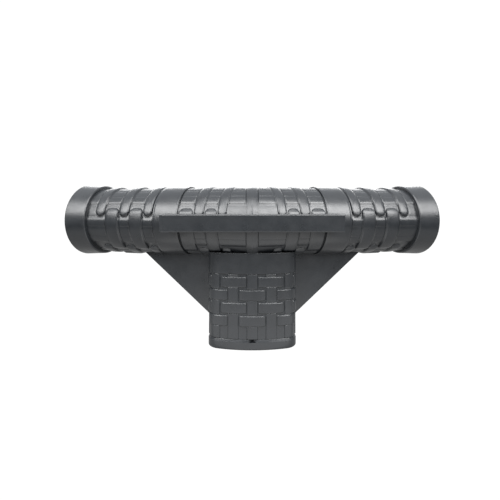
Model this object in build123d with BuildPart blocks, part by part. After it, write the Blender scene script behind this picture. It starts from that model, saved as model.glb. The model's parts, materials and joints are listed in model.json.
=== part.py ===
from build123d import *
import os
from math import asin, cos, degrees, radians, sin

# Bent tee fitting for the top rail of a round pool frame, in millimetres.
# +X runs across the fitting, -Y is its outer side, +Z is up.
# The origin is the centre of the leg socket's mouth.

# Layout
BEND = 15.0  # each arm leans back this many degrees from the X axis
AXIS_Z = 104.0  # rail axis above the mouth of the leg socket
REACH = 220.0  # longer than any part of the fitting

# Arms, measured along an arm (t) from the middle of the fitting
BORE_R = 25.3  # takes a 50 mm rail
STOP_R = 22.0  # narrower middle chamber, whose shoulder stops the rail
STOP_T = 22.0
WEAVE_R = 28.4  # floor of the woven relief
BAND_R = 30.0  # plain bands, level with the tops of the canes
SEAT_R = 29.4  # seat of the end collar
MID_BAND_X = 4.4  # half the width of the upright band in the middle
MID_BAND_R = 29.3
BAND_START_T = 55.5
BAND_END_T = 77.5
SEAT_START_T = 143.0
SHELL_END_T = 160.0

# End collars
COLLAR_INNER_R = 31.9
COLLAR_RIM_R = 33.1
COLLAR_END_T = 163.0
COLLAR_MOUTH_R = 26.0
COLLAR_ROUND = 1.2

# Gussets, with z measured from the rail axis
GUSSET_THICK = 3.0  # of each half
GUSSET_OUT_T = 104.2
GUSSET_LOW_T = 37.8
GUSSET_LOW_Z = -80.4
GUSSET_TOP_Z = -26.6
GUSSET_GAP = 0.6  # groove between a gusset and the leg socket

# Leg socket, a flat oval with bowed faces. Insets are measured in from its outside.
SOCKET_W, SOCKET_D = 74.0, 30.2
SOCKET_END_R = 11.5
SOCKET_FLOOR_STEP = 1.1  # depth of the woven relief
LEG_INSET = 3.5  # hollow for the leg tube
LEDGE_INSET = 6.0  # ledge that stops the leg
LEDGE_Z = 59.0
NECK_Z = 61.9  # lower edge of the neck under the tube
NECK_ROOF_Z = 76.2
NECK_TOP_Z = 78.7
NECK_BITE = 1.0  # how deep a gusset runs into the wall of the neck
TONGUE_INSET = 2.4  # the socket's plug inside the neck
FLANGE_INSET = 1.3
FLANGE_Z = 70.0
FLANGE_TOP_Z = 73.0
SPIGOT_INSET = 1.6  # spigot that carries the mouth ring
RING_Z = 8.6
RING_LIP = 0.8
RING_BEVEL_H, RING_BEVEL_IN = 2.1, 0.7
NOTCH_W, NOTCH_H = 5.0, 2.4

# Front bar
BAR_W, BAR_H = 140.0, 13.4
BAR_FACE_Y = -34.5
BAR_WALL = 2.2
BAR_BEVEL_H, BAR_BEVEL_IN = 0.8, 0.3  # steep bevel round the front face
TENON_X = 58.0
TENON_W, TENON_H = 12.0, 7.0
TENON_R = 27.4  # how near the rail axis a tenon reaches

# Screws that close the two shells: (t, z from the rail axis) on an arm
SCREW_PLACES = [(47.5, -56.0), (69.5, -39.5)]
POST_R, POST_H = 4.5, 8.0
TOWER_R, TOWER_H = 7.0, 12.0
SCREW_R, SCREW_HOLE_R = 2.0, 2.2
HEAD_R, HEAD_H = 4.0, 2.0
HEAD_POCKET_R = 4.3
SCREW_TIP = 1.4  # how far a screw passes the joint between the shells
CROSS_L, CROSS_W, CROSS_DEEP = 4.4, 1.0, 1.1

# Locking pins on the inner side of each arm, stored drawn clear of the bore
PIN_T = 116.0
PAD_R, PAD_TOP = 10.0, 31.2
PIN_R, PIN_HOLE_R = 4.0, 4.06
PIN_TIP = BORE_R + 0.3
PIN_TRAVEL_IN = 8.0
SEAL_THICK, SEAL_R = 2.0, 8.6
SEAL_GAP = 0.2  # between the seal and its pad when the pin is home
PIN_HEAD_R, PIN_HEAD_H = 8.0, 4.5
PIN_HEAD_ROUND = 2.0
PIN_TIP_CHAMFER = 1.2

lean = radians(BEND)
along = Vector(cos(lean), sin(lean), 0)  # out along the right arm
rearward = Vector(-sin(lean), cos(lean), 0)  # square to it, to the inner side
centre = Vector(0, 0, AXIS_Z)
arm_axis = Axis(centre, along)
arm_plane = Plane(origin=centre, x_dir=along, z_dir=-rearward)  # local x is t, local y is up
turning_plane = Plane(origin=centre, x_dir=along, z_dir=Vector(0, 0, 1) - rearward)  # clear of the joint
across_arm = Plane(origin=centre, x_dir=turning_plane.y_dir, z_dir=along)

# The socket's oval is two end arcs and two large face arcs that meet them smoothly
end_x = SOCKET_W / 2 - SOCKET_END_R
half_depth = SOCKET_D / 2
face_r = (end_x**2 + half_depth**2 - SOCKET_END_R**2) / (2 * (half_depth - SOCKET_END_R))
face_y = face_r - half_depth
face_turn = degrees(asin(end_x / (face_r - SOCKET_END_R)))


def on_arm(t, height=0.0, out=0.0):
    """A plane that faces the inner side, at t along the right arm and out from its axis."""
    origin = centre + along * t + Vector(0, 0, height) + rearward * out
    return Plane(origin=origin, x_dir=along, z_dir=rearward)


def oval(inset):
    """The leg socket's outline, moved in on all sides."""
    end_turn = 180 - 2 * face_turn
    with BuildLine() as outline:
        CenterArc((end_x, 0), SOCKET_END_R - inset, -end_turn / 2, end_turn)
        CenterArc((0, -face_y), face_r - inset, 90 - face_turn, 2 * face_turn)
        CenterArc((-end_x, 0), SOCKET_END_R - inset, 180 - end_turn / 2, end_turn)
        CenterArc((0, face_y), face_r - inset, 270 - face_turn, 2 * face_turn)
    make_face(outline.edges())


# Everything on the right of the middle of the fitting
with BuildPart() as right_half:
    with BuildSketch(Plane.YZ):
        Rectangle(4 * REACH, 4 * REACH)
    extrude(amount=REACH)

# Everything on the outer side of the joint between the shells, along the right arm
with BuildPart() as outer_side:
    with BuildSketch(arm_plane):
        Rectangle(4 * REACH, 4 * REACH)
    extrude(amount=REACH)

# The fitting is the same on both sides of the middle, so each piece that crosses it is made
# on the right and mirrored last.

# Upright band round the bend
with BuildPart() as middle_band:
    with BuildSketch(across_arm.offset(-BAND_R)):
        Circle(MID_BAND_R)
    extrude(amount=2 * BAND_R)
    with BuildSketch(Plane.YZ):
        Rectangle(4 * REACH, 4 * REACH)
    extrude(amount=MID_BAND_X, mode=Mode.INTERSECT)

# Outside of the right arm, without its bore
with BuildPart() as arm:
    with BuildSketch(turning_plane):
        with BuildLine():
            Polyline(
                (-BAND_R, 0),
                (-BAND_R, WEAVE_R),
                (BAND_START_T, WEAVE_R),
                (BAND_START_T, BAND_R),
                (BAND_END_T, BAND_R),
                (BAND_END_T, WEAVE_R),
                (SEAT_START_T, WEAVE_R),
                (SEAT_START_T, SEAT_R),
                (SHELL_END_T, SEAT_R),
                (SHELL_END_T, 0),
                close=True,
            )
        make_face()
    revolve(axis=arm_axis)
    add(right_half.part, mode=Mode.INTERSECT)
    add(middle_band.part)

# The rail bore and the narrower chamber that starts in the middle
with BuildPart() as bore:
    with BuildSketch(turning_plane):
        with BuildLine():
            Polyline(
                (-BAND_R, 0),
                (-BAND_R, STOP_R),
                (STOP_T, STOP_R),
                (STOP_T, BORE_R),
                (REACH, BORE_R),
                (REACH, 0),
                close=True,
            )
        make_face()
    revolve(axis=arm_axis)

# Neck under the middle, which holds the flanged tongue of the leg socket
with BuildPart() as neck:
    with BuildSketch(Plane.XY.offset(NECK_Z)):
        oval(0)
    extrude(amount=NECK_TOP_Z - NECK_Z)
    with BuildSketch(Plane.XY.offset(NECK_Z)):
        oval(TONGUE_INSET)
    extrude(amount=NECK_ROOF_Z - NECK_Z, mode=Mode.SUBTRACT)
    with BuildSketch(Plane.XY.offset(FLANGE_Z)):
        oval(FLANGE_INSET)
    extrude(amount=FLANGE_TOP_Z - FLANGE_Z, mode=Mode.SUBTRACT)
    add(right_half.part, mode=Mode.INTERSECT)


def plain_shell(on_outer_side):
    """The right half of one shell, before its fastenings: half an arm, gusset and neck."""
    keep = Mode.INTERSECT if on_outer_side else Mode.SUBTRACT
    with BuildPart() as half_neck:
        add(neck.part)
        add(outer_side.part, mode=keep)
    with BuildPart() as half_arm:
        add(arm.part)
        add(outer_side.part, mode=keep)
    with BuildPart() as shell:
        with BuildSketch(arm_plane):
            with BuildLine():
                Polyline(
                    (0, GUSSET_TOP_Z),
                    (GUSSET_OUT_T, GUSSET_TOP_Z),
                    (GUSSET_LOW_T, GUSSET_LOW_Z),
                    (0, GUSSET_LOW_Z),
                    close=True,
                )
            make_face()
        extrude(amount=GUSSET_THICK if on_outer_side else -GUSSET_THICK)
        # the groove that keeps a gusset clear of the leg socket
        with BuildSketch():
            oval(-GUSSET_GAP)
        extrude(amount=NECK_Z, mode=Mode.SUBTRACT)
        with BuildSketch(Plane.XY.offset(NECK_Z)):
            oval(NECK_BITE)
        extrude(amount=NECK_TOP_Z, mode=Mode.SUBTRACT)
        add(half_neck.part)
        add(half_arm.part)
        add(bore.part, mode=Mode.SUBTRACT)
    return shell.part


# Tenon at the back of the bar, and the hole it fills in the front shell
with BuildPart() as tenon:
    with BuildSketch(Plane.XZ.offset(-BAR_FACE_Y - BAR_WALL)):
        with Locations((TENON_X, AXIS_Z)):
            Rectangle(TENON_W, TENON_H)
    extrude(amount=BAR_FACE_Y + BAR_WALL)
    with BuildSketch(across_arm):
        Circle(TENON_R)
    extrude(amount=REACH, mode=Mode.SUBTRACT)

# Front shell, with the posts that take the screws
with BuildPart() as front_shell:
    add(plain_shell(on_outer_side=True))
    add(tenon.part, mode=Mode.SUBTRACT)
    for t, height in SCREW_PLACES:
        with BuildSketch(on_arm(t, height)):
            Circle(POST_R)
        extrude(amount=POST_H)
        with BuildSketch(on_arm(t, height, -SCREW_TIP)):
            Circle(SCREW_R)
        extrude(amount=POST_H + SCREW_TIP, mode=Mode.SUBTRACT)
    mirror(about=Plane.YZ)

# Rear shell, with the screw towers and the pads for the locking pins
with BuildPart() as rear_shell:
    add(plain_shell(on_outer_side=False))
    for t, height in SCREW_PLACES:
        with BuildSketch(on_arm(t, height)):
            Circle(TOWER_R)
        extrude(amount=TOWER_H)
        with BuildSketch(on_arm(t, height)):
            Circle(POST_R)
        extrude(amount=POST_H, mode=Mode.SUBTRACT)
        with BuildSketch(on_arm(t, height, POST_H)):
            Circle(SCREW_HOLE_R)
        extrude(amount=TOWER_H, mode=Mode.SUBTRACT)
        with BuildSketch(on_arm(t, height, TOWER_H - HEAD_H)):
            Circle(HEAD_POCKET_R)
        extrude(amount=HEAD_H, mode=Mode.SUBTRACT)
    with BuildSketch(on_arm(PIN_T, out=STOP_R)):
        Circle(PAD_R)
    extrude(amount=PAD_TOP - STOP_R)
    with BuildSketch(on_arm(PIN_T, out=STOP_R)):
        Circle(PIN_HOLE_R)
    extrude(amount=PAD_TOP - STOP_R, mode=Mode.SUBTRACT)
    add(bore.part, mode=Mode.SUBTRACT)
    mirror(about=Plane.YZ)

# Leg socket: woven sleeve, with a flanged tongue held between the shells
with BuildPart() as leg_socket:
    with BuildSketch(Plane.XY.offset(RING_LIP)):
        oval(SPIGOT_INSET)
    extrude(amount=RING_Z - RING_LIP)
    with BuildSketch(Plane.XY.offset(RING_Z)):
        oval(SOCKET_FLOOR_STEP)
    extrude(amount=NECK_Z - RING_Z)
    with BuildSketch(Plane.XY.offset(NECK_Z)):
        oval(TONGUE_INSET)
    extrude(amount=FLANGE_Z - NECK_Z)
    with BuildSketch(Plane.XY.offset(FLANGE_Z)):
        oval(FLANGE_INSET)
    extrude(amount=FLANGE_TOP_Z - FLANGE_Z)
    with BuildSketch():
        oval(LEG_INSET)
    extrude(amount=LEDGE_Z, mode=Mode.SUBTRACT)
    with BuildSketch():
        oval(LEDGE_INSET)
    extrude(amount=NECK_TOP_Z, mode=Mode.SUBTRACT)

# Ring that finishes the mouth of the leg socket, notched at the middle of its front
with BuildPart() as socket_ring:
    with BuildSketch():
        oval(0)
    extrude(amount=RING_Z)
    top_face = socket_ring.faces().sort_by(Axis.Z)[-1]
    chamfer(top_face.edges(), RING_BEVEL_IN, RING_BEVEL_H, reference=top_face)
    fillet(socket_ring.faces().sort_by(Axis.Z)[0].edges(), COLLAR_ROUND)
    with BuildSketch(Plane.XY.offset(RING_LIP)):
        oval(SPIGOT_INSET)
    extrude(amount=RING_Z, mode=Mode.SUBTRACT)
    with BuildSketch():
        oval(LEG_INSET)
    extrude(amount=RING_Z, mode=Mode.SUBTRACT)
    with BuildSketch(Plane.XZ.offset(half_depth - SPIGOT_INSET)):
        with Locations((0, RING_Z - NOTCH_H / 2)):
            Rectangle(NOTCH_W, NOTCH_H)
    extrude(amount=SOCKET_D, mode=Mode.SUBTRACT)

# End collar of the right arm
with BuildPart() as right_end_collar:
    with BuildSketch(turning_plane):
        with BuildLine():
            Polyline(
                (SEAT_START_T, SEAT_R),
                (SEAT_START_T, COLLAR_INNER_R),
                (COLLAR_END_T, COLLAR_RIM_R),
                (COLLAR_END_T, COLLAR_MOUTH_R),
                (SHELL_END_T, COLLAR_MOUTH_R),
                (SHELL_END_T, SEAT_R),
                close=True,
            )
        collar_profile = make_face()
        fillet(collar_profile.vertices().sort_by(Axis.Y)[-2:], COLLAR_ROUND)
    revolve(axis=arm_axis)

# Straight bar across the outer side, open at the back against the arms
with BuildPart() as front_bar:
    with BuildSketch(Plane.XZ.offset(-BAR_FACE_Y)):
        with Locations((0, AXIS_Z)):
            Rectangle(BAR_W, BAR_H)
    extrude(amount=-REACH / 3)
    front_face = front_bar.faces().sort_by(Axis.Y)[0]
    chamfer(front_face.edges(), BAR_BEVEL_H, BAR_BEVEL_IN, reference=front_face)
    with BuildSketch(Plane.XZ.offset(-BAR_FACE_Y - 2 * BAR_WALL)):
        with Locations((0, AXIS_Z)):
            Rectangle(BAR_W - 2 * BAR_WALL, BAR_H - 2 * BAR_WALL)
    extrude(amount=-REACH / 3, mode=Mode.SUBTRACT)
    add(right_half.part, mode=Mode.INTERSECT)
    add(outer_side.part, mode=Mode.INTERSECT)
    add(arm.part, mode=Mode.SUBTRACT)
    add(tenon.part)
    mirror(about=Plane.YZ)

# Cross-head screws, driven from the inner side
with BuildPart() as shell_screws:
    for t, height in SCREW_PLACES:
        with BuildSketch(on_arm(t, height, -SCREW_TIP)):
            Circle(SCREW_R)
        extrude(amount=TOWER_H - HEAD_H + SCREW_TIP)
        with BuildSketch(on_arm(t, height, TOWER_H - HEAD_H)):
            Circle(HEAD_R)
        extrude(amount=HEAD_H)
        with BuildSketch(on_arm(t, height, TOWER_H - CROSS_DEEP)):
            Rectangle(CROSS_L, CROSS_W)
            Rectangle(CROSS_W, CROSS_L)
        extrude(amount=CROSS_DEEP, mode=Mode.SUBTRACT)
    mirror(about=Plane.YZ)

# Rubber seal under the head of the right locking pin
seal_foot = PAD_TOP + SEAL_GAP + PIN_TRAVEL_IN
with BuildPart() as right_pin_seal:
    with BuildSketch(on_arm(PIN_T, out=seal_foot)):
        Circle(SEAL_R)
        Circle(PIN_R, mode=Mode.SUBTRACT)
    extrude(amount=SEAL_THICK)

# Right locking pin
head_foot = seal_foot + SEAL_THICK
with BuildPart() as right_rail_pin:
    with BuildSketch(on_arm(PIN_T, out=PIN_TIP)):
        Circle(PIN_R)
    extrude(amount=head_foot - PIN_TIP)
    tip_edge = right_rail_pin.edges().filter_by(GeomType.CIRCLE).sort_by(Axis.Y)[0]
    chamfer(tip_edge, PIN_TIP_CHAMFER)
    with BuildSketch(on_arm(PIN_T, out=head_foot)):
        Circle(PIN_HEAD_R)
    extrude(amount=PIN_HEAD_H)
    crown_edge = right_rail_pin.edges().filter_by(GeomType.CIRCLE).sort_by(Axis.Y)[-1]
    fillet(crown_edge, PIN_HEAD_ROUND)

pieces = {
    "front_shell": front_shell.part,
    "rear_shell": rear_shell.part,
    "leg_socket": leg_socket.part,
    "socket_ring": socket_ring.part,
    "front_bar": front_bar.part,
    "right_end_collar": right_end_collar.part,
    "left_end_collar": mirror(right_end_collar.part, about=Plane.YZ),
    "shell_screws": shell_screws.part,
    "right_rail_pin": right_rail_pin.part,
    "left_rail_pin": mirror(right_rail_pin.part, about=Plane.YZ),
    "right_pin_seal": right_pin_seal.part,
    "left_pin_seal": mirror(right_pin_seal.part, about=Plane.YZ),
}

os.makedirs("parts", exist_ok=True)
for name, piece in pieces.items():
    piece.label = name
    export_step(piece, f"parts/{name}.step")
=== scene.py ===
import json
import math

import bpy
import numpy as np
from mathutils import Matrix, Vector


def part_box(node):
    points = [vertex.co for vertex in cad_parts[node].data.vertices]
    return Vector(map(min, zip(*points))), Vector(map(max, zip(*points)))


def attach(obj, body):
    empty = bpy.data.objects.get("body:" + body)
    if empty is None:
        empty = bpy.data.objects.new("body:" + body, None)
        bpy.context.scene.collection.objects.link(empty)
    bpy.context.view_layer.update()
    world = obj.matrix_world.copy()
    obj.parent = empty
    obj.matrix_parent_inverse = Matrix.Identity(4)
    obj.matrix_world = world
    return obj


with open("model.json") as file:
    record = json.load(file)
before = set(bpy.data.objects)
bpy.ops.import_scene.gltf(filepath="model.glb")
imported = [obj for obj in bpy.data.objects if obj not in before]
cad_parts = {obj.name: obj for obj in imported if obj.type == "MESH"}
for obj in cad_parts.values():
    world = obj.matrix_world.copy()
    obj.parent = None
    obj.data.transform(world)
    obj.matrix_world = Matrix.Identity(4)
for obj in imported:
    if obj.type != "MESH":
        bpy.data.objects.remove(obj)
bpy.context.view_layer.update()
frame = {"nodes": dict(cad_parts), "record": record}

MM = 0.001
BODY = "fitting"

# ---------------------------------------------------------------- places from the frame
mounts = {m["name"]: m for m in frame["record"]["mounts"]}
rail = mounts["right_rail_bore"]
LEAN = math.atan2(rail["axis"][1], rail["axis"][0])  # each arm leans back this much
AXIS_Z = rail["pos_m"][2] / MM  # rail axis above the leg socket's mouth
COS, SIN = math.cos(LEAN), math.sin(LEAN)

# ---------------------------------------------------------------- relief of the arms, in mm
WEAVE_R = 28.4  # floor of the relief, as on the CAD arms
BAND_R = 30.05  # plain bands, a hair over the CAD ones
BAND_T = (55.5, 77.5)
MID_BAND_R = 29.35
MID_BAND_X = 4.4
BAND_LINE, BAND_RISE = 0.3, 0.9  # beside a band the relief starts after a gap, and rises over a stretch
SKIN_R = 27.9  # underside of the skin, sunk into the CAD arms
SKIN_END_T = 144.0  # under the end collar
ROUND = 1.1  # how far an edge takes to round over
TOP, UNDERSIDE = 90.0, 270.0  # degrees round an arm, where the two shells meet
SEAM_HALF, SEAM_DEPTH = 0.15, 0.3
LINE_LOWEST = -0.3  # how far the lines round the hoops go below the floor
SKIN_LOWEST = -0.25  # and the skin, once the bands have faded them
PIN_CLEAR_R = 6.5  # holes in the rear skin under the locking pins' pads
CUTTER_LENGTH = 60.0

# Channels between the lengthwise strips, in degrees: 0 faces out, 90 is up
CHANNELS = 5
CHANNEL_FIRST = 18.0
CHANNEL_HALF = 10.0
STRIP_H = 0.85  # the strips' height above the floor
STRIP_EDGE = 3.0  # a strip slopes into its channels over this width
STRIP_CANES = 3  # flat canes side by side in a strip
CANE_LINE_HALF, CANE_LINE_DEPTH = 0.35, 0.22

# Hoops, by where they start and end along an arm. Each crosses over at two spans of angles,
# and its ends sink under the strips over the last few mm, down to a share of its height.
HOOPS_OVER_TOP = [(13.4, 21.0), (32.5, 41.3), (78.6, 87.4), (100.9, 110.6), (124.9, 134.0)]
HOOPS_OVER_SIDE = [(21.7, 31.9), (42.1, 54.4), (88.1, 100.2), (111.2, 123.9)]
OVER_TOP_SPANS = [(8.4, 171.6), (228.0, 312.0)]
OVER_SIDE_SPANS = [(-60.0, 23.0), (157.0, 240.0)]
HOOP_H_OUT = 1.95  # between the band and the collar
HOOP_H_IN = 1.35  # between the band and the middle
HOOP_CROWN = 0.12  # share of its height by which a hoop is lower at its sides
HOOP_END_ROUND = 4.0  # corner radius of a hoop's end
TOP_SINK, UNDER_SINK = 0.85, 0.45  # shares left at the ends, over the top and underneath
SIDE_SINK_OUT, SIDE_SINK_IN = 0.6, 0.3  # and at the sides, beyond the band and before it
SINK_LENGTH = 4.5
HOOP_LINE_OUT, HOOP_LINE_HALF, HOOP_LINE_DEPTH = 0.3, 0.45, 0.5  # dark line just outside a hoop
STRIP_SHARE = 0.3  # how much of the strips still shows through a hoop

# Thickened underside outside each gusset
FOOT_T = (103.0, 121.5)
FOOT_HALF = 14.0  # degrees
FOOT_H = 2.5
FOOT_ROUND = 2.0

# Steps of the grid: coarse, fine, and how near an edge the fine ones start
ROW_STEPS = (1.3, 0.3, 1.5)
COLUMN_STEPS = (2.4, 0.7, 2.2)  # degrees
MIDDLE_STEPS = (0.7, 0.25, 1.2)
MIDDLE_END_X = MID_BAND_X + 0.6
CHANNEL_PLACES = range(-12, 13, 4)  # degrees from the middle of a channel
FRONT_ROWS_T, REAR_ROWS_T = 13.0, 16.5  # where each skin's rows turn square to the arm
BLEND_ROWS = 24  # from the last row square to X to the first one square to the arm
SHARP_ANGLE = 55.0

# ---------------------------------------------------------------- relief of the leg socket, in mm
SOCKET_W, SOCKET_D = 74.0, 30.2
SOCKET_END_R = 11.5
# Its oval is two end arcs and two large face arcs that meet them smoothly
END_X = SOCKET_W / 2 - SOCKET_END_R
FACE_R = (END_X**2 + (SOCKET_D / 2) ** 2 - SOCKET_END_R**2) / (2 * (SOCKET_D / 2 - SOCKET_END_R))
FACE_TURN = math.asin(END_X / (FACE_R - SOCKET_END_R))
HALF_FACE = FACE_R * FACE_TURN
END_LENGTH = SOCKET_END_R * (math.pi - 2 * FACE_TURN)
HALF_ROUND = 2 * HALF_FACE + END_LENGTH
SOCKET_RELIEF = 1.1  # how deep the CAD socket lies under the outline
SOCKET_SKIN = (8.6, 61.9)
SKIN_THICK = 0.6
SKIN_SINK = 0.05  # how far the skin's floor lies under the CAD socket's face
STAKES = 11
STAKE_GAP = 15.75
STAKE_HALF = 4.5
STAKE_H = 0.95
STAKE_ROUND = 0.8
ROWS = [55.2, 44.5, 34.0, 23.5]
ROW_HALF = 4.45
FLOAT_HALF = 11.0
FLOAT_H = 1.3
FLOAT_LOW = 0.2  # least height at a float's edge
FLOAT_ROUND = 1.0
FLOAT_CORNER = 1.6
FLOAT_SINK, FLOAT_SINK_LENGTH = 0.45, 4.0
FLOAT_LINE_OUT, FLOAT_LINE_HALF, FLOAT_LINE_DEPTH = 0.3, 0.4, 0.35
RIM_FADE = 0.6  # the relief dies out this near the skin's upper and lower edges
ROUND_STEPS = (0.9, 0.22, 1.1)  # steps of the grid as above, round the socket
UPRIGHT_STEPS = (0.9, 0.18, 1.3)  # and up it

# ---------------------------------------------------------------- studio, in metres
BACKDROP = 1.05  # what the camera sees behind and under the fitting
# Radiance of the room by the height of a direction, from -1 straight down to 1 straight up
ROOM = [(-0.25, 0.06), (-0.12, 0.12), (0.0, 0.42), (0.2, 0.30), (0.7, 1.05)]
ROOM_TINT = (0.93, 0.96, 1.0)
TABLE_R, TABLE_Z = 0.36, -0.0002
TABLE_GLOW = 0.55
CARD_X, CARD_Y, CARD_Z = 0.28, (-0.15, -0.016), -0.0001  # bounce card in front of the socket
CARD_GLOW = 1.2
# Softboxes: name, place, width and height, radiance. The middle one lights the lip of the bar
# and the upper edges of the socket's floats.
SOFTBOXES = [
    ("softbox_left", (-0.64, -0.64, 0.64), (0.72, 0.56), 8.4),
    ("softbox_right", (0.64, -0.64, 0.64), (0.72, 0.56), 9.6),
    ("softbox_back", (0.0, 1.0, 0.5), (1.6, 0.5), 4.0),
    ("softbox_middle", (0.0, -0.7, 0.67), (0.42, 0.17), 9.0),
    ("softbox_top", (0.0, -0.38, 0.88), (1.0, 0.3), 5.0),
]
CAMERA_PLACE = (0.0, -0.2897, 0.1173)
LENS, SENSOR = 24.5, 36.0  # mm
SHIFT_X, SHIFT_Y = -0.0044, -0.0888


def smooth(x):
    """0 to 1 with flat ends."""
    x = np.clip(x, 0.0, 1.0)
    return x * x * (3.0 - 2.0 * x)


def pillow(inside, edge=ROUND):
    """Height from 0 to 1 of a rounded edge, by the distance inside it."""
    x = np.clip(inside / edge, 0.0, 1.0)
    return np.sqrt(np.clip(1.0 - (1.0 - x) ** 2, 0.0, 1.0))


def inside_rounded_box(u, v, half_u, half_v, corner):
    """Distance inside a rounded rectangle about the origin, negative outside."""
    du = np.abs(u) - (half_u - corner)
    dv = np.abs(v) - (half_v - corner)
    outside = np.hypot(np.maximum(du, 0.0), np.maximum(dv, 0.0))
    return corner - outside - np.minimum(np.maximum(du, dv), 0.0)


def turn_between(phi, middle):
    """Signed angle from middle to phi, in degrees, from -180 to 180."""
    return (phi - middle + 180.0) % 360.0 - 180.0


def groove(distance, half_width, depth):
    """A rounded line cut into a surface."""
    return -depth * np.exp(-((distance / half_width) ** 2))


# ---------------------------------------------------------------- relief of the arms
def strip_height(phi):
    """Lengthwise strips of flat canes, with a channel between each two."""
    pitch = 360.0 / CHANNELS
    strip_half = pitch / 2 - CHANNEL_HALF
    across = turn_between(phi, CHANNEL_FIRST + pitch / 2)
    across = (across + pitch / 2) % pitch - pitch / 2
    per_degree = math.radians(WEAVE_R)
    height = STRIP_H * smooth((strip_half - np.abs(across)) * per_degree / STRIP_EDGE)
    cane = 2 * strip_half / STRIP_CANES
    for line in range(1, STRIP_CANES):
        edge = (line - STRIP_CANES / 2) * cane
        height = height + groove((across - edge) * per_degree, CANE_LINE_HALF, CANE_LINE_DEPTH)
    return height


def hoop_height(t, phi, span_t, span_phi, top, sink):
    """One raised float of a hoop: its height, and the distance inside its edge."""
    middle_t = (span_t[0] + span_t[1]) / 2
    middle_phi = (span_phi[0] + span_phi[1]) / 2
    half_t = (span_t[1] - span_t[0]) / 2
    half_arc = math.radians(span_phi[1] - span_phi[0]) / 2 * WEAVE_R
    arc = np.radians(turn_between(phi, middle_phi)) * WEAVE_R
    inside = inside_rounded_box(t - middle_t, arc, half_t, half_arc, HOOP_END_ROUND)
    to_end = half_arc - np.abs(arc)
    share = sink + (1.0 - sink) * smooth(to_end / SINK_LENGTH)
    crown = 1.0 - HOOP_CROWN * ((t - middle_t) / half_t) ** 2
    return top * pillow(inside) * share * crown, inside


def arm_floats():
    """Every raised float of an arm: its spans, its height and how far its ends sink."""
    floats = []
    for span_t in HOOPS_OVER_TOP:
        top = HOOP_H_OUT if span_t[0] > BAND_T[1] else HOOP_H_IN
        for span_phi, sink in zip(OVER_TOP_SPANS, (TOP_SINK, UNDER_SINK)):
            floats.append((span_t, span_phi, top, sink))
    for span_t in HOOPS_OVER_SIDE:
        outer = span_t[0] > BAND_T[1]
        top = HOOP_H_OUT if outer else HOOP_H_IN
        sink = SIDE_SINK_OUT if outer else SIDE_SINK_IN
        floats += [(span_t, span_phi, top, sink) for span_phi in OVER_SIDE_SPANS]
    return floats


def foot_height(t, phi):
    """The thickened underside outside a gusset, and the lowest line elsewhere."""
    inside = np.minimum(
        np.minimum(t - FOOT_T[0], FOOT_T[1] - t),
        np.radians(FOOT_HALF - np.abs(turn_between(phi, UNDERSIDE))) * WEAVE_R,
    )
    return np.where(inside < 0, LINE_LOWEST, FOOT_H * pillow(inside, FOOT_ROUND))


def arm_radius(t, phi, x):
    """Radius of the skin at t along an arm, phi round it, and x from the middle."""
    height = strip_height(phi)
    for span_t, span_phi, top, sink in arm_floats():
        hoop, inside = hoop_height(t, phi, span_t, span_phi, top, sink)
        line = groove(inside + HOOP_LINE_OUT, HOOP_LINE_HALF, HOOP_LINE_DEPTH)
        height = np.where(inside > 0, np.maximum(hoop, STRIP_SHARE * height), height + line)
    height = np.maximum(height, foot_height(t, phi))
    band_depth = np.minimum(t - BAND_T[0], BAND_T[1] - t)
    for depth, radius in ((band_depth, BAND_R), (MID_BAND_X - x, MID_BAND_R)):
        band = (radius - WEAVE_R) * pillow(depth)
        beside = smooth((-depth - BAND_LINE) / BAND_RISE)
        height = np.where(depth > 0, band, height * beside)
    for seam in (TOP, UNDERSIDE):
        height = height + groove(np.radians(turn_between(phi, seam)) * WEAVE_R, SEAM_HALF, SEAM_DEPTH)
    return WEAVE_R + np.maximum(height, SKIN_LOWEST)


def steps(start, stop, places, coarse, fine, reach):
    """Positions from start to stop, close together within reach of any of the places."""
    out = [start]
    while out[-1] < stop:
        near = min(abs(out[-1] - p) for p in places) < reach
        out.append(out[-1] + (fine if near else coarse))
    out[-1] = stop
    return np.array(out)


def arm_rows(first_t):
    """Positions along the arm, close together near the edges of hoops and bands."""
    edges = [edge for span in HOOPS_OVER_TOP + HOOPS_OVER_SIDE for edge in span]
    edges += list(BAND_T)
    return steps(first_t, SKIN_END_T, edges, *ROW_STEPS)


def skin_columns(low, high):
    """Angles round the arm, close together in the channels and at the canes' lines."""
    pitch = 360.0 / CHANNELS
    cane = (pitch - 2 * CHANNEL_HALF) / STRIP_CANES
    places = [low, high]
    for k in range(-CHANNELS, 2 * CHANNELS):
        middle = CHANNEL_FIRST + k * pitch
        places += [middle + offset for offset in CHANNEL_PLACES]
        places += [middle + CHANNEL_HALF + line * cane for line in range(1, STRIP_CANES)]
    return steps(low, high, places, *COLUMN_STEPS)


def arm_point(t, phi, radius):
    """Where a point of the right arm is, in mm."""
    out = radius * np.cos(np.radians(phi))
    up = radius * np.sin(np.radians(phi))
    return np.stack([t * COS + out * SIN, t * SIN - out * COS, AXIS_Z + up], -1)


def arm_row_places(phi, radius, first_t):
    """How far along the arm each row of the skin's grid crosses each column, at a radius.

    Rows lie square to X at the middle band, and square to the arm from first_t on.
    """
    lean_in = radius * np.cos(np.radians(phi)) * SIN
    rows = [(x - lean_in) / COS for x in steps(0.0, MIDDLE_END_X, [MID_BAND_X], *MIDDLE_STEPS)]
    last = rows[-1]
    rows += [last + (first_t - last) * share for share in np.linspace(0.0, 1.0, BLEND_ROWS)[1:-1]]
    return rows + [np.full_like(phi, t) for t in arm_rows(first_t)]


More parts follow.
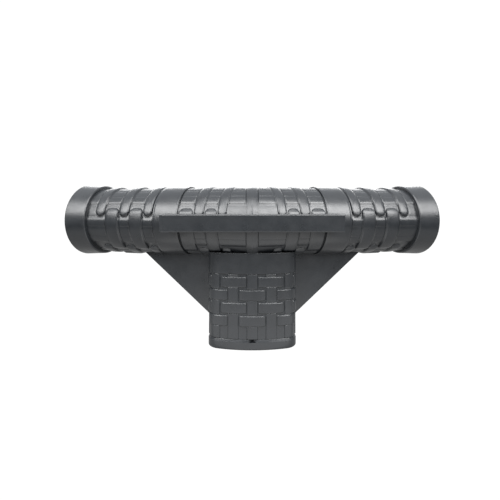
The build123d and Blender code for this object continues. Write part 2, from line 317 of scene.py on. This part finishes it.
def arm_grid(phi, first_t):
    """Points of the right half of the skin, outside and inside: rows from the middle plane out."""
    outer, inner = [], []
    for t in arm_row_places(phi, MID_BAND_R, first_t):
        x = t * COS + MID_BAND_R * np.cos(np.radians(phi)) * SIN
        outer.append(arm_point(t, phi, arm_radius(t, phi, x)))
    for t in arm_row_places(phi, SKIN_R, first_t):
        inner.append(arm_point(t, phi, np.full_like(phi, SKIN_R)))
    return np.array(outer), np.array(inner)


def mirrored_rows(right):
    """Rows from the left end to the right end, the middle row shared."""
    left = right[:0:-1] * np.array([-1.0, 1.0, 1.0])
    return np.concatenate([left, right])


def closed_skin(name, outer, inner, wraps):
    """A closed solid between two grids of points with the same columns.

    A skin that wraps round has no sides, so its inner grid may have fewer rows.
    """
    rows, columns = outer.shape[:2]
    points = np.concatenate([outer.reshape(-1, 3), inner.reshape(-1, 3)]) * MM
    faces = []

    def outside(i, j):
        return i * columns + j % columns

    def inside(i, j):
        return (rows + i) * columns + j % columns

    for j in range(columns if wraps else columns - 1):
        for i in range(rows - 1):
            faces.append((outside(i, j), outside(i + 1, j), outside(i + 1, j + 1), outside(i, j + 1)))
        for i in range(len(inner) - 1):
            faces.append((inside(i, j), inside(i, j + 1), inside(i + 1, j + 1), inside(i + 1, j)))
        faces.append((outside(0, j), outside(0, j + 1), inside(0, j + 1), inside(0, j)))
        last, last_in = rows - 1, len(inner) - 1
        faces.append((outside(last, j + 1), outside(last, j), inside(last_in, j), inside(last_in, j + 1)))
    for i in range(0 if wraps else rows - 1):
        side = columns - 1
        faces.append((outside(i + 1, 0), outside(i, 0), inside(i, 0), inside(i + 1, 0)))
        faces.append((outside(i, side), outside(i + 1, side), inside(i + 1, side), inside(i, side)))
    mesh = bpy.data.meshes.new(name)
    mesh.from_pydata(points.tolist(), [], faces)
    return mesh_piece(name, mesh)


def mesh_piece(name, mesh):
    """An object for a mesh, shaded smooth but for its sharp edges."""
    mesh.validate()
    mesh.polygons.foreach_set("use_smooth", [True] * len(mesh.polygons))
    mesh.set_sharp_from_angle(angle=math.radians(SHARP_ANGLE))
    piece = bpy.data.objects.new(name, mesh)
    bpy.context.scene.collection.objects.link(piece)
    return piece


def arm_skin(name, low, high, first_t):
    """The woven and banded skin of both arms, between two angles round them."""
    phi = skin_columns(low, high)
    outer, inner = arm_grid(phi, first_t)
    return closed_skin(name, mirrored_rows(outer), mirrored_rows(inner), wraps=False)


def clear_pins(skin):
    """Cuts the skin away round each locking pin, inside the pad it slides in."""
    for joint in frame["record"]["behaviour"]["joints"]:
        low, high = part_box(joint["child"].split("_")[0] + "_rail_pin")
        bpy.ops.mesh.primitive_cylinder_add(vertices=48, radius=PIN_CLEAR_R * MM, depth=CUTTER_LENGTH * MM)
        cutter = bpy.context.object
        cutter.location = (Vector(low) + Vector(high)) / 2
        cutter.rotation_euler = Vector(joint["axis"]).to_track_quat("Z", "Y").to_euler()
        cut = skin.modifiers.new("pin_hole", "BOOLEAN")
        cut.operation = "DIFFERENCE"
        cut.object = cutter
        bpy.context.view_layer.update()
        solid = skin.evaluated_get(bpy.context.evaluated_depsgraph_get())
        skin.data = bpy.data.meshes.new_from_object(solid)
        skin.modifiers.clear()
        bpy.data.objects.remove(cutter)


# ---------------------------------------------------------------- relief of the leg socket
def socket_point(s, inset):
    """Where s is on the socket's outline, moved in by inset.

    s is the distance round the outside, 0 at the middle of the front and growing towards +X.
    """
    side = np.where(s < 0, -1.0, 1.0)
    s = np.abs(s)
    on_end = np.clip(s - HALF_FACE, 0.0, END_LENGTH)
    angle = (s - on_end) / FACE_R + on_end / SOCKET_END_R
    front, back = s < HALF_FACE, s > HALF_FACE + END_LENGTH
    radius = np.where(front | back, FACE_R, SOCKET_END_R) - inset
    middle_x = np.where(front | back, 0.0, END_X)
    middle_y = (FACE_R - SOCKET_D / 2) * np.where(front, 1.0, np.where(back, -1.0, 0.0))
    x = side * (middle_x + radius * np.sin(angle))
    return np.stack([x, middle_y - radius * np.cos(angle)], -1)


def stake_places():
    """Where each upright stake is round the socket, the middle one at the front."""
    return [(k - STAKES // 2) * STAKE_GAP for k in range(STAKES)]


def float_height(s, z, stake, z_row):
    """One float woven over a stake: its height, and the distance inside its edge."""
    inside = inside_rounded_box(s - stake, z - z_row, FLOAT_HALF, ROW_HALF, FLOAT_CORNER)
    to_end = FLOAT_HALF - np.abs(s - stake)
    share = FLOAT_SINK + (1.0 - FLOAT_SINK) * smooth(to_end / FLOAT_SINK_LENGTH)
    return np.maximum(FLOAT_H * pillow(inside, FLOAT_ROUND) * share, FLOAT_LOW), inside


def socket_height(s, z):
    """Relief of the leg socket: upright stakes, with floats woven over every other one."""
    height = np.zeros_like(s)
    for stake in stake_places():
        height = np.maximum(height, STAKE_H * pillow(STAKE_HALF - np.abs(s - stake), STAKE_ROUND))
    for row, z_row in enumerate(ROWS):
        for k, stake in enumerate(stake_places()):
            if (row + k + STAKES // 2) % 2 == 0:
                continue
            bulge, inside = float_height(s, z, stake, z_row)
            line = groove(inside + FLOAT_LINE_OUT, FLOAT_LINE_HALF, FLOAT_LINE_DEPTH)
            line = line * (z > z_row - ROW_HALF)  # none under a float
            height = np.where(inside > 0, bulge, height + line)
    rim = np.minimum(z - SOCKET_SKIN[0], SOCKET_SKIN[1] - z)
    return height * smooth(rim / RIM_FADE) - SKIN_SINK


def socket_skin(name):
    """The woven skin round the leg socket, its rows from the top down."""
    edges = (-FLOAT_HALF, -STAKE_HALF, STAKE_HALF, FLOAT_HALF)
    places = [stake + edge for stake in stake_places() for edge in edges]
    s = steps(-HALF_ROUND, HALF_ROUND, places, *ROUND_STEPS)[:-1]
    places = [z + edge for z in ROWS for edge in (-ROW_HALF, ROW_HALF)] + list(SOCKET_SKIN)
    rows = steps(*SOCKET_SKIN, places, *UPRIGHT_STEPS)[::-1]

    def ring(z, inset):
        return np.column_stack([socket_point(s, inset), np.full_like(s, z)])

    outer = np.array([ring(z, SOCKET_RELIEF - socket_height(s, np.full_like(s, z))) for z in rows])
    inner = np.array([ring(z, SOCKET_RELIEF + SKIN_THICK) for z in (rows[0], rows[-1])])
    return closed_skin(name, outer, inner, wraps=True)


# ---------------------------------------------------------------- materials
def node_material(name):
    """A material with only a Principled shader, its node tree and that shader."""
    material = bpy.data.materials.new(name)
    material.use_nodes = True
    tree = material.node_tree
    return material, tree, tree.nodes["Principled BSDF"]


def noise(tree, scale, detail=2.0):
    """A noise texture in the object's own coordinates."""
    place = tree.nodes.new("ShaderNodeTexCoord")
    texture = tree.nodes.new("ShaderNodeTexNoise")
    texture.inputs["Scale"].default_value = scale
    texture.inputs["Detail"].default_value = detail
    tree.links.new(place.outputs["Object"], texture.inputs["Vector"])
    return texture.outputs["Fac"]


def spread(tree, value, low, high):
    """Maps a 0.3 to 0.7 texture value onto low to high."""
    ramp = tree.nodes.new("ShaderNodeMapRange")
    ramp.inputs["From Min"].default_value = 0.3
    ramp.inputs["From Max"].default_value = 0.7
    ramp.inputs["To Min"].default_value = low
    ramp.inputs["To Max"].default_value = high
    tree.links.new(value, ramp.inputs["Value"])
    return ramp.outputs["Result"]


def mottled(tree, shader, dark, light, scale):
    """Base colour that drifts between two close tones."""
    mix = tree.nodes.new("ShaderNodeMix")
    mix.data_type = "RGBA"
    mix.inputs["A"].default_value = (*dark, 1.0)
    mix.inputs["B"].default_value = (*light, 1.0)
    tree.links.new(spread(tree, noise(tree, scale, 4.0), 0.0, 1.0), mix.inputs["Factor"])
    tree.links.new(mix.outputs["Result"], shader.inputs["Base Color"])


def grain(tree, shader, scales, strength, distance):
    """A fine moulded grain from noises of several scales, added together."""
    total = None
    for scale in scales:
        value = noise(tree, scale)
        if total is None:
            total = value
            continue
        add = tree.nodes.new("ShaderNodeMath")
        add.operation = "ADD"
        tree.links.new(total, add.inputs[0])
        tree.links.new(value, add.inputs[1])
        total = add.outputs["Value"]
    bump = tree.nodes.new("ShaderNodeBump")
    bump.inputs["Strength"].default_value = strength
    bump.inputs["Distance"].default_value = distance
    tree.links.new(total, bump.inputs["Height"])
    tree.links.new(bump.outputs["Normal"], shader.inputs["Normal"])
    return bump


def slate_plastic():
    """Satin slate-grey moulded plastic, a little uneven in tone and gloss."""
    material, tree, shader = node_material("slate_plastic")
    mottled(tree, shader, dark=(0.0105, 0.0120, 0.0140), light=(0.0145, 0.0165, 0.0190), scale=60.0)
    tree.links.new(spread(tree, noise(tree, 130.0, 3.0), 0.27, 0.36), shader.inputs["Roughness"])
    shader.inputs["IOR"].default_value = 1.65
    bump = grain(tree, shader, scales=(900.0, 2300.0), strength=0.12, distance=0.0002)
    edge = tree.nodes.new("ShaderNodeBevel")
    edge.inputs["Radius"].default_value = 0.0004
    edge.samples = 8
    tree.links.new(edge.outputs["Normal"], bump.inputs["Normal"])
    return material


def pin_plastic():
    """Charcoal plastic of the locking pins."""
    material, tree, shader = node_material("pin_plastic")
    mottled(tree, shader, dark=(0.013, 0.014, 0.016), light=(0.02, 0.021, 0.023), scale=110.0)
    tree.links.new(spread(tree, noise(tree, 260.0), 0.3, 0.42), shader.inputs["Roughness"])
    grain(tree, shader, scales=(1500.0,), strength=0.15, distance=0.0002)
    return material


def seal_rubber():
    """Matt black rubber with a dusty bloom."""
    material, tree, shader = node_material("seal_rubber")
    mottled(tree, shader, dark=(0.006, 0.006, 0.0065), light=(0.016, 0.016, 0.017), scale=220.0)
    tree.links.new(spread(tree, noise(tree, 400.0), 0.68, 0.86), shader.inputs["Roughness"])
    grain(tree, shader, scales=(2600.0,), strength=0.3, distance=0.0002)
    return material


def screw_steel():
    """Zinc-plated steel, brushed round by the driver."""
    material, tree, shader = node_material("screw_steel")
    mottled(tree, shader, dark=(0.42, 0.42, 0.41), light=(0.62, 0.62, 0.63), scale=500.0)
    shader.inputs["Metallic"].default_value = 1.0
    tree.links.new(spread(tree, noise(tree, 900.0), 0.22, 0.4), shader.inputs["Roughness"])
    grain(tree, shader, scales=(3000.0,), strength=0.1, distance=0.0001)
    return material


def stage_white(name, to_object):
    """A plain white backdrop to the camera, that lights the fitting with a glow of its own."""
    material, tree, shader = node_material(name)
    shader.inputs["Base Color"].default_value = (0.0, 0.0, 0.0, 1.0)
    shader.inputs["Specular IOR Level"].default_value = 0.0
    shader.inputs["Emission Color"].default_value = (1.0, 1.0, 1.0, 1.0)
    path = tree.nodes.new("ShaderNodeLightPath")
    glow = tree.nodes.new("ShaderNodeMapRange")
    glow.inputs["To Min"].default_value = to_object
    glow.inputs["To Max"].default_value = BACKDROP
    tree.links.new(path.outputs["Is Camera Ray"], glow.inputs["Value"])
    tree.links.new(glow.outputs["Result"], shader.inputs["Emission Strength"])
    return material


# ---------------------------------------------------------------- studio
def area_light(name, place, width, height, radiance):
    """A softbox at place, turned to the middle of the bend."""
    data = bpy.data.lights.new(name, "AREA")
    data.shape = "RECTANGLE"
    data.size = width
    data.size_y = height
    data.energy = radiance * math.pi * width * height
    lamp = bpy.data.objects.new(name, data)
    bpy.context.scene.collection.objects.link(lamp)
    lamp.location = place
    aim = Vector((0.0, 0.0, AXIS_Z * MM)) - Vector(place)
    lamp.rotation_euler = aim.to_track_quat("-Z", "Y").to_euler()


def studio_world():
    """A white backdrop to the camera; to everything else a room that darkens towards its floor."""
    world = bpy.data.worlds.new("studio")
    bpy.context.scene.world = world
    world.use_nodes = True
    tree = world.node_tree
    tree.nodes.clear()
    out = tree.nodes.new("ShaderNodeOutputWorld")
    mix = tree.nodes.new("ShaderNodeMixShader")
    path = tree.nodes.new("ShaderNodeLightPath")
    seen = tree.nodes.new("ShaderNodeBackground")
    seen.inputs["Color"].default_value = (1.0, 1.0, 1.0, 1.0)
    seen.inputs["Strength"].default_value = BACKDROP
    room = tree.nodes.new("ShaderNodeBackground")
    place = tree.nodes.new("ShaderNodeTexCoord")
    split = tree.nodes.new("ShaderNodeSeparateXYZ")
    rise = tree.nodes.new("ShaderNodeMapRange")
    rise.inputs["From Min"].default_value = -1.0
    fade = tree.nodes.new("ShaderNodeValToRGB")
    while len(fade.color_ramp.elements) < len(ROOM):
        fade.color_ramp.elements.new(1.0)
    for stop, (height, radiance) in zip(fade.color_ramp.elements, ROOM):
        stop.position = (height + 1.0) / 2
        stop.color = (*(tint * radiance for tint in ROOM_TINT), 1.0)
    tree.links.new(place.outputs["Generated"], split.inputs["Vector"])
    tree.links.new(split.outputs["Z"], rise.inputs["Value"])
    tree.links.new(rise.outputs["Result"], fade.inputs["Fac"])
    tree.links.new(fade.outputs["Color"], room.inputs["Color"])
    tree.links.new(path.outputs["Is Camera Ray"], mix.inputs["Fac"])
    tree.links.new(room.outputs["Background"], mix.inputs[1])
    tree.links.new(seen.outputs["Background"], mix.inputs[2])
    tree.links.new(mix.outputs["Shader"], out.inputs["Surface"])


def studio_floor():
    """A round white table top that the fitting stands on, with a brighter card on it."""
    bpy.ops.mesh.primitive_circle_add(vertices=96, radius=TABLE_R, fill_type="NGON", location=(0, 0, TABLE_Z))
    floor = bpy.context.object
    floor.name = "studio_floor"
    floor.data.materials.append(stage_white("table_white", TABLE_GLOW))
    bpy.ops.mesh.primitive_plane_add(size=1.0, location=(0, sum(CARD_Y) / 2, CARD_Z))
    card = bpy.context.object
    card.name = "bounce_card"
    card.scale = (CARD_X, CARD_Y[1] - CARD_Y[0], 1.0)
    card.data.materials.append(stage_white("card_white", CARD_GLOW))


def studio_camera():
    """Level camera close in front of the bend, a little above the rail axis."""
    data = bpy.data.cameras.new("camera")
    data.lens = LENS
    data.sensor_width = SENSOR
    data.shift_x = SHIFT_X
    data.shift_y = SHIFT_Y
    data.clip_start = 0.01
    camera = bpy.data.objects.new("camera", data)
    bpy.context.scene.collection.objects.link(camera)
    camera.location = CAMERA_PLACE
    camera.rotation_euler = (math.radians(90), 0.0, 0.0)
    bpy.context.scene.camera = camera


studio_camera()
studio_world()
studio_floor()
for name, place, size, radiance in SOFTBOXES:
    area_light(name, place, *size, radiance)
bpy.context.scene.view_settings.view_transform = "Standard"

# ---------------------------------------------------------------- the fitting
slate = slate_plastic()
materials = {
    "slate_plastic": slate,
    "pin_plastic": pin_plastic(),
    "seal_rubber": seal_rubber(),
    "screw_steel": screw_steel(),
}
slots = {entry["node"]: entry["material_slot"] for entry in frame["record"]["subparts"]}
for node, piece in frame["nodes"].items():
    piece.data.materials.clear()
    piece.data.materials.append(materials[slots[node]])

front_weave = arm_skin("front_weave", UNDERSIDE - 360.0, TOP, FRONT_ROWS_T)
rear_weave = arm_skin("rear_weave", TOP, UNDERSIDE, REAR_ROWS_T)
socket_weave = socket_skin("socket_weave")
clear_pins(rear_weave)
for skin in (front_weave, rear_weave, socket_weave):
    skin.data.materials.clear()
    skin.data.materials.append(slate)
    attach(skin, BODY)
